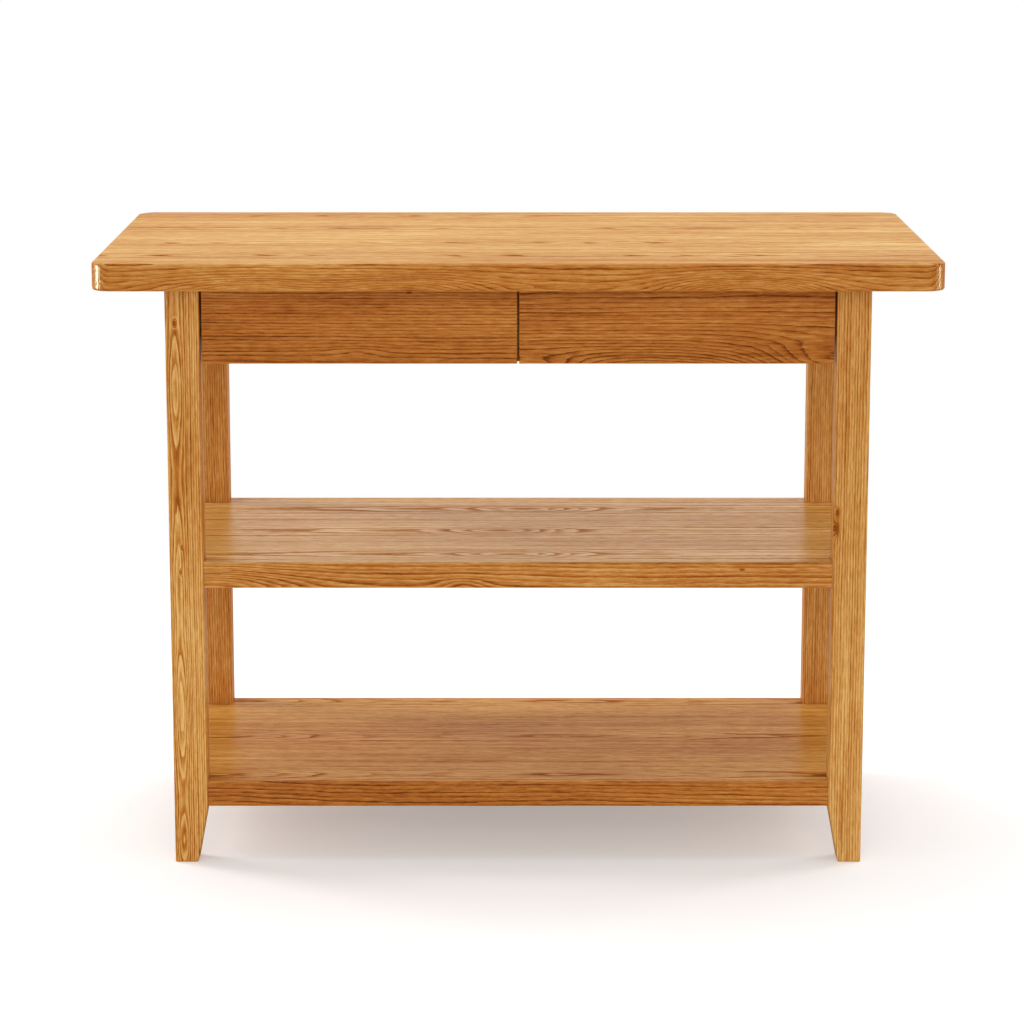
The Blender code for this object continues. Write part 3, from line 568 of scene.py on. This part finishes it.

# The top and the shelves carry painted light in the paler colours of their level faces, and painted shade in
# the darker tone of their upright edges
BOARDS = {
    "tabletop": Cut(
        "X", (0.0, -0.015), ring=0.0036, taper=0.003, wander=0.002, ripple=0.14, staves=TOP_STAVES,
        swells=((0.10, 0.0, 0.20, 0.03, 0.009), (-0.45, 0.0, 0.14, 0.03, 0.008)),
        marks=((-0.47, 0.0, 0.09, 0.005, 0.08), (-0.12, 0.002, 0.12, 0.004, 0.07)),
        bulges=((-0.380, 0.0, -0.009, 0.12, 0.03, 0.027, 0.030),
                (-0.160, 0.0, -0.003, 0.11, 0.03, 0.024, 0.030),
                (0.325, 0.0, -0.005, 0.11, 0.03, 0.025, 0.036)),
        colours=PAINTED_LIT_TOP_ASH, coat=0.35, lines=0.52, streaks=0.62, tone=0.33, painted_edge_shade=0.05, seed=2.0),
    "middle_shelf": Cut(
        "X", (0.0, -0.0215), ring=0.0044, taper=0.002, wander=0.0012, ripple=0.12, staves=MIDDLE_STAVES,
        swells=((-0.13, 0.0, 0.20, 0.04, 0.007), (-0.005, 0.0, 0.085, 0.03, 0.016)),
        marks=((-0.196, 0.0, 0.045, 0.006, 0.18), (0.207, 0.0, 0.038, 0.008, 0.28)),
        bulges=((-0.450, 0.0, 0.0035, 0.12, 0.02, 0.028, 0.027),
                (-0.079, 0.0, 0.0025, 0.035, 0.02, 0.014, 0.010)),
        knots=((0.33, 0.0, 0.0275, 0.0014),),
        colours=PAINTED_LIT_SHELF_ASH, coat=0.82, lines=0.50, streaks=0.50, broad=True, tone=0.18, painted_edge_shade=0.16,
        seed=4.0),
    "lower_shelf": Cut(
        "X", (0.0, -0.0185), ring=0.0048, taper=0.002, wander=0.0012, ripple=0.16, staves=LOWER_STAVES,
        swells=((-0.46, 0.0, 0.17, 0.035, 0.019), (0.09, 0.0, 0.24, 0.035, 0.010)),
        colours=PAINTED_LIT_SHELF_ASH, coat=0.40, lines=0.46, streaks=0.56, tone=0.37, painted_edge_shade=0.18, seed=7.0),
    "front_left_leg": Cut(
        "Z", (-0.0115, 0.013), ring=0.0031, taper=0.001, wander=0.0006, ripple=0.10, broad=True,
        swells=((0.715, 0.0, 0.070, 0.010, 0.0065), (0.440, 0.0, 0.085, 0.010, 0.0060),
                (0.240, 0.0, 0.105, 0.012, 0.0115), (0.035, 0.0, 0.045, 0.010, 0.0065)),
        marks=((0.585, 0.0, 0.050, 0.014, 0.09),),
        knots=((0.817, -0.011, 0.0, 0.0030), (0.446, -0.009, 0.0, 0.0022), (0.483, -0.007, 0.0, 0.0014)),
        tone=0.12, seed=11.0),
    "front_right_leg": Cut(
        "Z", (0.122, -0.063), ring=0.0036, taper=0.002, wander=0.0012, ripple=0.14, lines=0.66,
        knots=((0.512, -0.021, 0.0, 0.0048), (0.536, -0.019, 0.0, 0.0030)),
        marks=((0.075, -0.127, 0.045, 0.004, 0.30),),
        tone=0.18, seed=13.0),
    "rear_left_leg": Cut("Z", (-0.112, -0.039), ring=0.0036, wander=0.002, ripple=0.2, tone=0.28, seed=15.0),
    # The right rear leg's tone is paler than the left's as painted light, for the light from the left on its
    # inner face
    "rear_right_leg": Cut("Z", (0.122, -0.029), ring=0.0036, wander=0.002, ripple=0.2, tone=0.22, seed=17.0),
    "left_drawer_front": Cut(
        "X", (-0.104, -0.0575), ring=0.0036, taper=0.004, wander=0.0022, ripple=0.10,
        bulges=((-0.0018, 0.0, 0.0185, 0.040, 0.05, 0.010, 0.004),),
        knots=((0.0728, 0.0, 0.1055, 0.002),), lines=0.52, tone=0.53, seed=19.0),
    "right_drawer_front": Cut(
        "X", (-0.104, 0.1425), ring=0.0032, taper=0.006, wander=0.0022, ripple=0.10,
        bulges=((0.2393, 0.0, -0.0095, 0.13, 0.05, 0.042, 0.042),
                (-0.2107, 0.0, -0.0095, 0.09, 0.05, 0.022, 0.022)),
        lines=0.50, tone=0.50, seed=23.0),
    "left_side_apron": Cut("Y", (-0.0575, -0.052), tone=0.36, seed=29.0),
    "right_side_apron": Cut("Y", (-0.0375, 0.062), tone=0.36, seed=31.0),
    "rear_apron": Cut("X", (0.098, 0.0225), taper=0.012, wander=0.006, tone=0.38, seed=37.0),
    "front_top_rail": Cut("X", (0.034, -0.0547), tone=0.32, seed=41.0),
    "centre_divider": Cut("Y", (-0.0575, 0.100), tone=0.32, seed=43.0),
    "left_slide_batten": Cut("Y", (-0.0651, 0.0754), tone=0.32, seed=47.0),
    "right_slide_batten": Cut("Y", (-0.0851, -0.0654), tone=0.32, seed=53.0),
}

# Grain and pith of the boards of a drawer box, and the seeds that set them apart
BOX_BOARDS = {
    "left_side": ("Y", (0.030, -0.057)),
    "right_side": ("Y", (0.030, -0.057)),
    "back": ("X", (0.030, -0.050)),
    "bottom": ("X", (0.200, -0.150)),
}
BOX_FIRST_SEED = 63.0
BOX_SEED_STEP = 3.0

# Seeds of the dowels, for each metre of their places
DOWEL_SEED_X = 7.0
DOWEL_SEED_Z = 11.0


def shade_smooth(node):
    """Joins the solid's facets and shades its rounds smoothly, with its true edges kept."""
    weld = node.modifiers.new("weld", "WELD")
    weld.merge_threshold = SAME_POINT
    split = node.modifiers.new("true_edges", "EDGE_SPLIT")
    split.split_angle = SHARP_ANGLE
    normals = node.modifiers.new("even_normals", "WEIGHTED_NORMAL")
    normals.keep_sharp = True


def finish_node(name, material):
    node = frame["nodes"][name]
    node.data.materials.clear()
    node.data.materials.append(material)
    shade_smooth(node)


def finish_wood(name, kind, cut, gloss):
    finish_node(name, wood(f"{kind}_{name}", cut, datum_of(name, cut.grain), gloss))


def finish_boards():
    """Gives every board of the frame and the drawer fronts its own figure."""
    for name, cut in BOARDS.items():
        finish_wood(name, "ash", cut, SATIN)


def finish_drawer_boxes():
    """The boxes are of paler ash with a thinner lacquer, and their bottoms of bare birch plywood."""
    seed = BOX_FIRST_SEED
    for side in ("left", "right"):
        for part, (grain, pith) in BOX_BOARDS.items():
            name = f"{side}_drawer_{part}"
            if part == "bottom":
                cut = Cut(grain, pith, ring=0.006, taper=0.02, wander=0.012, colours=BIRCH, coat=0.0,
                          lines=0.30, tone=0.22, seed=seed)
                finish_wood(name, "birch", cut, BARE)
            else:
                cut = Cut(grain, pith, ring=0.0045, taper=0.012, colours=PALE_ASH, coat=0.1,
                          lines=0.40, tone=0.20, seed=seed)
                finish_wood(name, "pale_ash", cut, DULL_SATIN)
            seed += BOX_SEED_STEP


def finish_dowels():
    """Bare beech, whose figure differs with the place of the dowel."""
    for name in frame["nodes"]:
        if name.endswith("_dowel"):
            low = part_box(name)[0]
            cut = Cut("X", (-0.03, -0.04), ring=0.0025, colours=BEECH, coat=0.0,
                      tone=0.25, seed=low[0] * DOWEL_SEED_X + low[2] * DOWEL_SEED_Z)
            finish_wood(name, "beech", cut, BARE)


def finish_steel():
    """Zinc plating on the rails, ball cages and clips, each a little different in colour and gloss."""
    rail = steel("zinc_rail", linear(200, 202, 204), "Y", gloss=0.36)
    cage = steel("zinc_cage", linear(188, 186, 176), "Y", gloss=0.24)
    clip = steel("zinc_clip", linear(214, 208, 188), "X", gloss=0.34)
    for name in frame["nodes"]:
        if name.endswith("_rail") and "slide" in name:
            finish_node(name, rail)
        elif name.endswith("_cage"):
            finish_node(name, cage)
        elif name.startswith("tabletop_clip"):
            finish_node(name, clip)


@dataclass
class Screw:
    """A screw with a round head and a cross recess, in metres. Its head stands on z = 0."""

    head_radius: float
    head_height: float
    shank_radius: float
    length: float
    countersunk: bool = False


CLIP_SCREW = Screw(0.0042, 0.0024, 0.0020, 0.0160)
RUNNER_SCREW = Screw(0.0036, 0.0018, 0.0017, 0.0095)
FLUSH_SCREW = Screw(0.0036, 0.00012, 0.0017, 0.0090, countersunk=True)
SCREW_SIDES = 24
CROWN_STEPS = 6

# Shares of the head's radius and height, the tip's length in shank radii, and a tolerance in head heights
CROWN_FLAT = 0.55
HEAD_WALL = 0.45
RECESS_REACH = 0.56
RECESS_WIDTH = 0.17
RECESS_DEPTH = 0.70
TIP_LENGTH = 3
SAME_LEVEL = 0.01

# Sheet steel of the clips and rails, the clips' flat pads and the places of screws along a rail
CLIP_SHEET = 0.0018
CLIP_PAD = 0.0182
RAIL_SHEET = 0.0012
RAIL_SCREW_SHARES = (0.10, 0.46, 0.88)


def lathe(profile, sides):
    """A closed solid turned about Z. The profile's first and last points lie on the axis."""
    shape = bmesh.new()
    angles = [2 * math.pi * i / sides for i in range(sides)]
    rings = []
    for radius, height in profile[1:-1]:
        rings.append([shape.verts.new((radius * math.cos(a), radius * math.sin(a), height)) for a in angles])
    for upper, lower in zip(rings, rings[1:]):
        for i in range(sides):
            j = (i + 1) % sides
            shape.faces.new((upper[i], lower[i], lower[j], upper[j]))
    for (radius, height), ring in ((profile[0], rings[0]), (profile[-1], rings[-1])):
        tip = shape.verts.new((radius, 0.0, height))
        for i in range(sides):
            shape.faces.new((tip, ring[i], ring[(i + 1) % sides]))
    bmesh.ops.recalc_face_normals(shape, faces=shape.faces)
    return shape


def screw_profile(screw):
    """Radius and height from the crown of the head down to the point of the shank."""
    rise = screw.head_height
    neck = 0.0
    crown = []
    if screw.countersunk:
        neck = screw.head_radius - screw.shank_radius
        crown.append((screw.head_radius - rise, rise))
    else:
        for i in range(1, CROWN_STEPS + 1):
            angle = math.pi / 2 * i / CROWN_STEPS
            radius = screw.head_radius * (CROWN_FLAT + (1 - CROWN_FLAT) * math.sin(angle))
            crown.append((radius, rise * (HEAD_WALL + (1 - HEAD_WALL) * math.cos(angle))))
    tip = screw.length - TIP_LENGTH * screw.shank_radius
    shank = [(screw.shank_radius, -neck), (screw.shank_radius, -tip)]
    return [(0.0, rise), *crown, (screw.head_radius, 0.0), *shank, (0.0, -screw.length)]


def recess_floor(screw):
    return screw.head_height * (1.0 - RECESS_DEPTH)


def cross_cutter(screw):
    """Two crossed bars that cut the recess out of the top of a head."""
    reach = RECESS_REACH * screw.head_radius
    width = RECESS_WIDTH * screw.head_radius
    shape = bmesh.new()
    for half_x, half_y in ((reach, width), (width, reach)):
        corners = bmesh.ops.create_cube(shape, size=1.0)["verts"]
        size = Vector((2 * half_x, 2 * half_y, 2 * screw.head_height))
        bmesh.ops.scale(shape, vec=size, verts=corners)
        bmesh.ops.translate(shape, vec=(0.0, 0.0, recess_floor(screw) + screw.head_height), verts=corners)
    return shape


def as_object(name, shape):
    """Puts a shape into the scene as an object."""
    mesh = bpy.data.meshes.new(name)
    shape.to_mesh(mesh)
    shape.free()
    obj = bpy.data.objects.new(name, mesh)
    bpy.context.scene.collection.objects.link(obj)
    return obj


def screw_mesh(screw):
    """The screw's mesh, in which the floor of the recess has the second material, a dark steel that is
    painted shade.
    """
    blank = as_object("screw_blank", lathe(screw_profile(screw), SCREW_SIDES))
    cutter = as_object("screw_cutter", cross_cutter(screw))
    recess = blank.modifiers.new("recess", "BOOLEAN")
    recess.operation = "DIFFERENCE"
    recess.object = cutter
    recess.use_self = True
    mesh = bpy.data.meshes.new_from_object(blank.evaluated_get(bpy.context.evaluated_depsgraph_get()))
    for helper in (blank, cutter):
        bpy.data.objects.remove(helper, do_unlink=True)
    # The floor of the recess takes the dark second material: painted shade
    for face in mesh.polygons:
        inside = math.hypot(face.center.x, face.center.y) < RECESS_REACH * screw.head_radius
        if inside and abs(face.center.z - recess_floor(screw)) < SAME_LEVEL * screw.head_height:
            face.material_index = 1
    return mesh


def add_screws(name, mesh, places, axis, body, materials):
    """Puts a row of screws into one piece. Their heads look along the axis."""
    turn = Vector((0.0, 0.0, 1.0)).rotation_difference(Vector(axis)).to_matrix().to_4x4()
    shape = bmesh.new()
    for place in places:
        screw = mesh.copy()
        screw.transform(Matrix.Translation(place) @ turn)
        shape.from_mesh(screw)
        bpy.data.meshes.remove(screw)
    piece = as_object(name, shape)
    for material in materials:
        piece.data.materials.append(material)
    shade_smooth(piece)
    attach(piece, body)


def add_clip_screws(materials):
    """A pan-headed screw through the pad of each clip, up into the top."""
    mesh = screw_mesh(CLIP_SCREW)
    for name in frame["nodes"]:
        if not name.startswith("tabletop_clip"):
            continue
        low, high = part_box(name)
        x = (low[0] + high[0]) / 2
        y = (low[1] + high[1]) / 2
        if name.startswith("tabletop_clip_rear"):
            y = low[1] + CLIP_PAD / 2
        else:
            x = high[0] - CLIP_PAD / 2 if high[0] < 0.0 else low[0] + CLIP_PAD / 2
        place = (x, y, high[2] - CLIP_SHEET)
        add_screws(f"{name}_screw", mesh, [place], (0.0, 0.0, -1.0), "frame", materials)


def add_slide_screws(materials):
    """Flush screws in the cabinet rails, and pan-headed screws inside the drawer rails."""
    flush = screw_mesh(FLUSH_SCREW)
    runner = screw_mesh(RUNNER_SCREW)
    for side in ("left", "right"):
        for hand, inward in (("left", 1.0), ("right", -1.0)):
            stem = f"{side}_drawer_{hand}_slide"
            for part, mesh, way, body in (("cabinet_rail", flush, inward, "frame"),
                                          ("drawer_rail", runner, -inward, f"{side}_drawer")):
                low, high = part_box(f"{stem}_{part}")
                web = low[0] + RAIL_SHEET if way > 0 else high[0] - RAIL_SHEET
                z = (low[2] + high[2]) / 2
                places = [(web, low[1] + share * (high[1] - low[1]), z) for share in RAIL_SCREW_SHARES]
                add_screws(f"{stem}_{part}_screws", mesh, places, (way, 0.0, 0.0), body, materials)


def make_screws():
    """All screws are zinc-plated, and the floors of their recesses take a dark steel as painted shade."""
    materials = (steel("zinc_screw", linear(214, 211, 200), "Z", gloss=0.28),
                 # The dark steel of the recess floors is painted shade
                 steel("painted_shade_recess", linear(72, 70, 66), "Z", gloss=0.5))
    add_clip_screws(materials)
    add_slide_screws(materials)


def make_floor():
    """A pale floor that is white where nothing shades it, keeps the object's soft shadow, fades into the
    white surroundings and can't be seen from below."""
    shape = bmesh.new()
    bmesh.ops.create_grid(shape, x_segments=1, y_segments=1, size=FLOOR_FADE_END)
    floor = as_object("floor", shape)
    floor.location.z = -FLOOR_DROP
    graph = Graph("pale_floor")
    path = graph.add("ShaderNodeLightPath")
    x, y, _ = graph.places(AXES["X"])
    away_from_object = (x.squared() + y.squared()).root().rise(FLOOR_FADE_START, FLOOR_FADE_END)
    glow = Field(graph, path.outputs["Is Camera Ray"]) * FLOOR_LIFT
    base = graph.add("ShaderNodeBsdfDiffuse", {"Color": grey(FLOOR_GREY)})
    light = graph.add("ShaderNodeEmission", {"Strength": glow})
    both = graph.add("ShaderNodeAddShader", {0: base.outputs[0], 1: light.outputs[0]})
    clear = graph.add("ShaderNodeBsdfTransparent")
    underside = graph.add("ShaderNodeNewGeometry").outputs["Backfacing"]
    gone = graph.math("MAXIMUM", away_from_object, underside)
    shader = graph.add("ShaderNodeMixShader", {0: gone, 1: both.outputs[0], 2: clear.outputs[0]})
    output = graph.add("ShaderNodeOutputMaterial")
    graph.tree.links.new(shader.outputs[0], output.inputs["Surface"])
    floor.data.materials.append(graph.material)


def make_world():
    """White where it is seen, directly or in a reflection, with the dim front of the studio behind the
    camera's side, and a soft fill light everywhere else."""
    world = bpy.data.worlds.new("studio")
    world.use_nodes = True
    graph = Graph.of_tree(world.node_tree)
    path = graph.add("ShaderNodeLightPath")
    parts = graph.add("ShaderNodeSeparateXYZ", {0: graph.add("ShaderNodeTexCoord").outputs["Generated"]})
    backdrop = Field(graph, parts.outputs[1]).rise(GLOSS_DARKEST_Y, GLOSS_WHITE_Y).span(FRONT_GLOSS, 1.0)
    seen = Field(graph, path.outputs["Is Camera Ray"])
    mirrored = graph.math("MAXIMUM", path.outputs["Is Glossy Ray"], path.outputs["Is Transmission Ray"])
    unseen = graph.math("MAXIMUM", seen, mirrored).fade()
    level = graph.math("MAXIMUM", seen, mirrored * backdrop) + unseen * FILL_LIGHT
    background = graph.add("ShaderNodeBackground", {"Color": (*WHITE, 1.0), "Strength": level})
    output = graph.add("ShaderNodeOutputWorld")
    graph.tree.links.new(background.outputs[0], output.inputs["Surface"])
    bpy.context.scene.world = world


def add_softbox(name, place, target, width, height, power):
    """An area light that looks from a place towards a target, and isn't seen itself."""
    light = bpy.data.lights.new(name, "AREA")
    light.shape = "RECTANGLE"
    light.size = width
    light.size_y = height
    light.energy = power
    lamp = bpy.data.objects.new(name, light)
    lamp.location = place
    lamp.rotation_euler = (Vector(target) - Vector(place)).to_track_quat("-Z", "Y").to_euler()
    lamp.visible_camera = False
    bpy.context.scene.collection.objects.link(lamp)
    return lamp


def shine_only_on(lamp, names):
    """Lets a light reach only these solids."""
    receivers = bpy.data.collections.new(f"{lamp.name}_receivers")
    for name in names:
        receivers.objects.link(frame["nodes"][name])
    lamp.light_linking.receiver_collection = receivers


def add_card(name, side, power):
    """A narrow beam that shows only as a reflection, down a rounded corner of the top."""
    card = add_softbox(name, place=(1.4 * side, -0.36, 0.79), target=(0.6 * side, -0.31, 0.9),
                       width=0.30, height=0.30, power=power)
    card.data.color = CARD_TINT
    card.data.spread = CARD_SPREAD
    card.visible_diffuse = False
    shine_only_on(card, ["tabletop"])


def make_lights():
    """A broad light overhead, a fill behind the camera, and a strip and a card at each side."""
    add_softbox("overhead", place=(0.0, 0.25, 3.4), target=(0.0, 0.0, 0.6),
                width=3.0, height=2.2, power=46.0)
    add_softbox("front_fill", place=(0.0, -4.8, 1.9), target=(0.0, 0.0, 0.5),
                width=3.4, height=2.0, power=62.0)
    for hand, side, strip_power, card_power in (("left", -1.0, 30.0, 1.7), ("right", 1.0, 18.0, 0.45)):
        strip = add_softbox(f"{hand}_strip", place=(2.4 * side, 0.7, 1.3), target=(0.0, -0.1, 0.7),
                            width=0.7, height=1.8, power=strip_power)
        strip.visible_glossy = False
        add_card(f"{hand}_card", side, card_power)


def make_camera():
    """The photograph's viewing angle, by a tilt down and a small shift."""
    camera = bpy.data.objects.new("camera", bpy.data.cameras.new("camera"))
    camera.data.sensor_width = CAMERA_SENSOR
    camera.data.lens = CAMERA_LENS
    camera.data.shift_y = CAMERA_SHIFT
    camera.location = CAMERA_PLACE
    camera.rotation_euler = (math.pi / 2 - CAMERA_TILT, 0.0, 0.0)
    bpy.context.scene.collection.objects.link(camera)
    bpy.context.scene.camera = camera


finish_boards()
finish_drawer_boxes()
finish_dowels()
finish_steel()
make_screws()
make_floor()
make_world()
make_lights()
make_camera()
bpy.context.scene.view_settings.view_transform = "Standard"
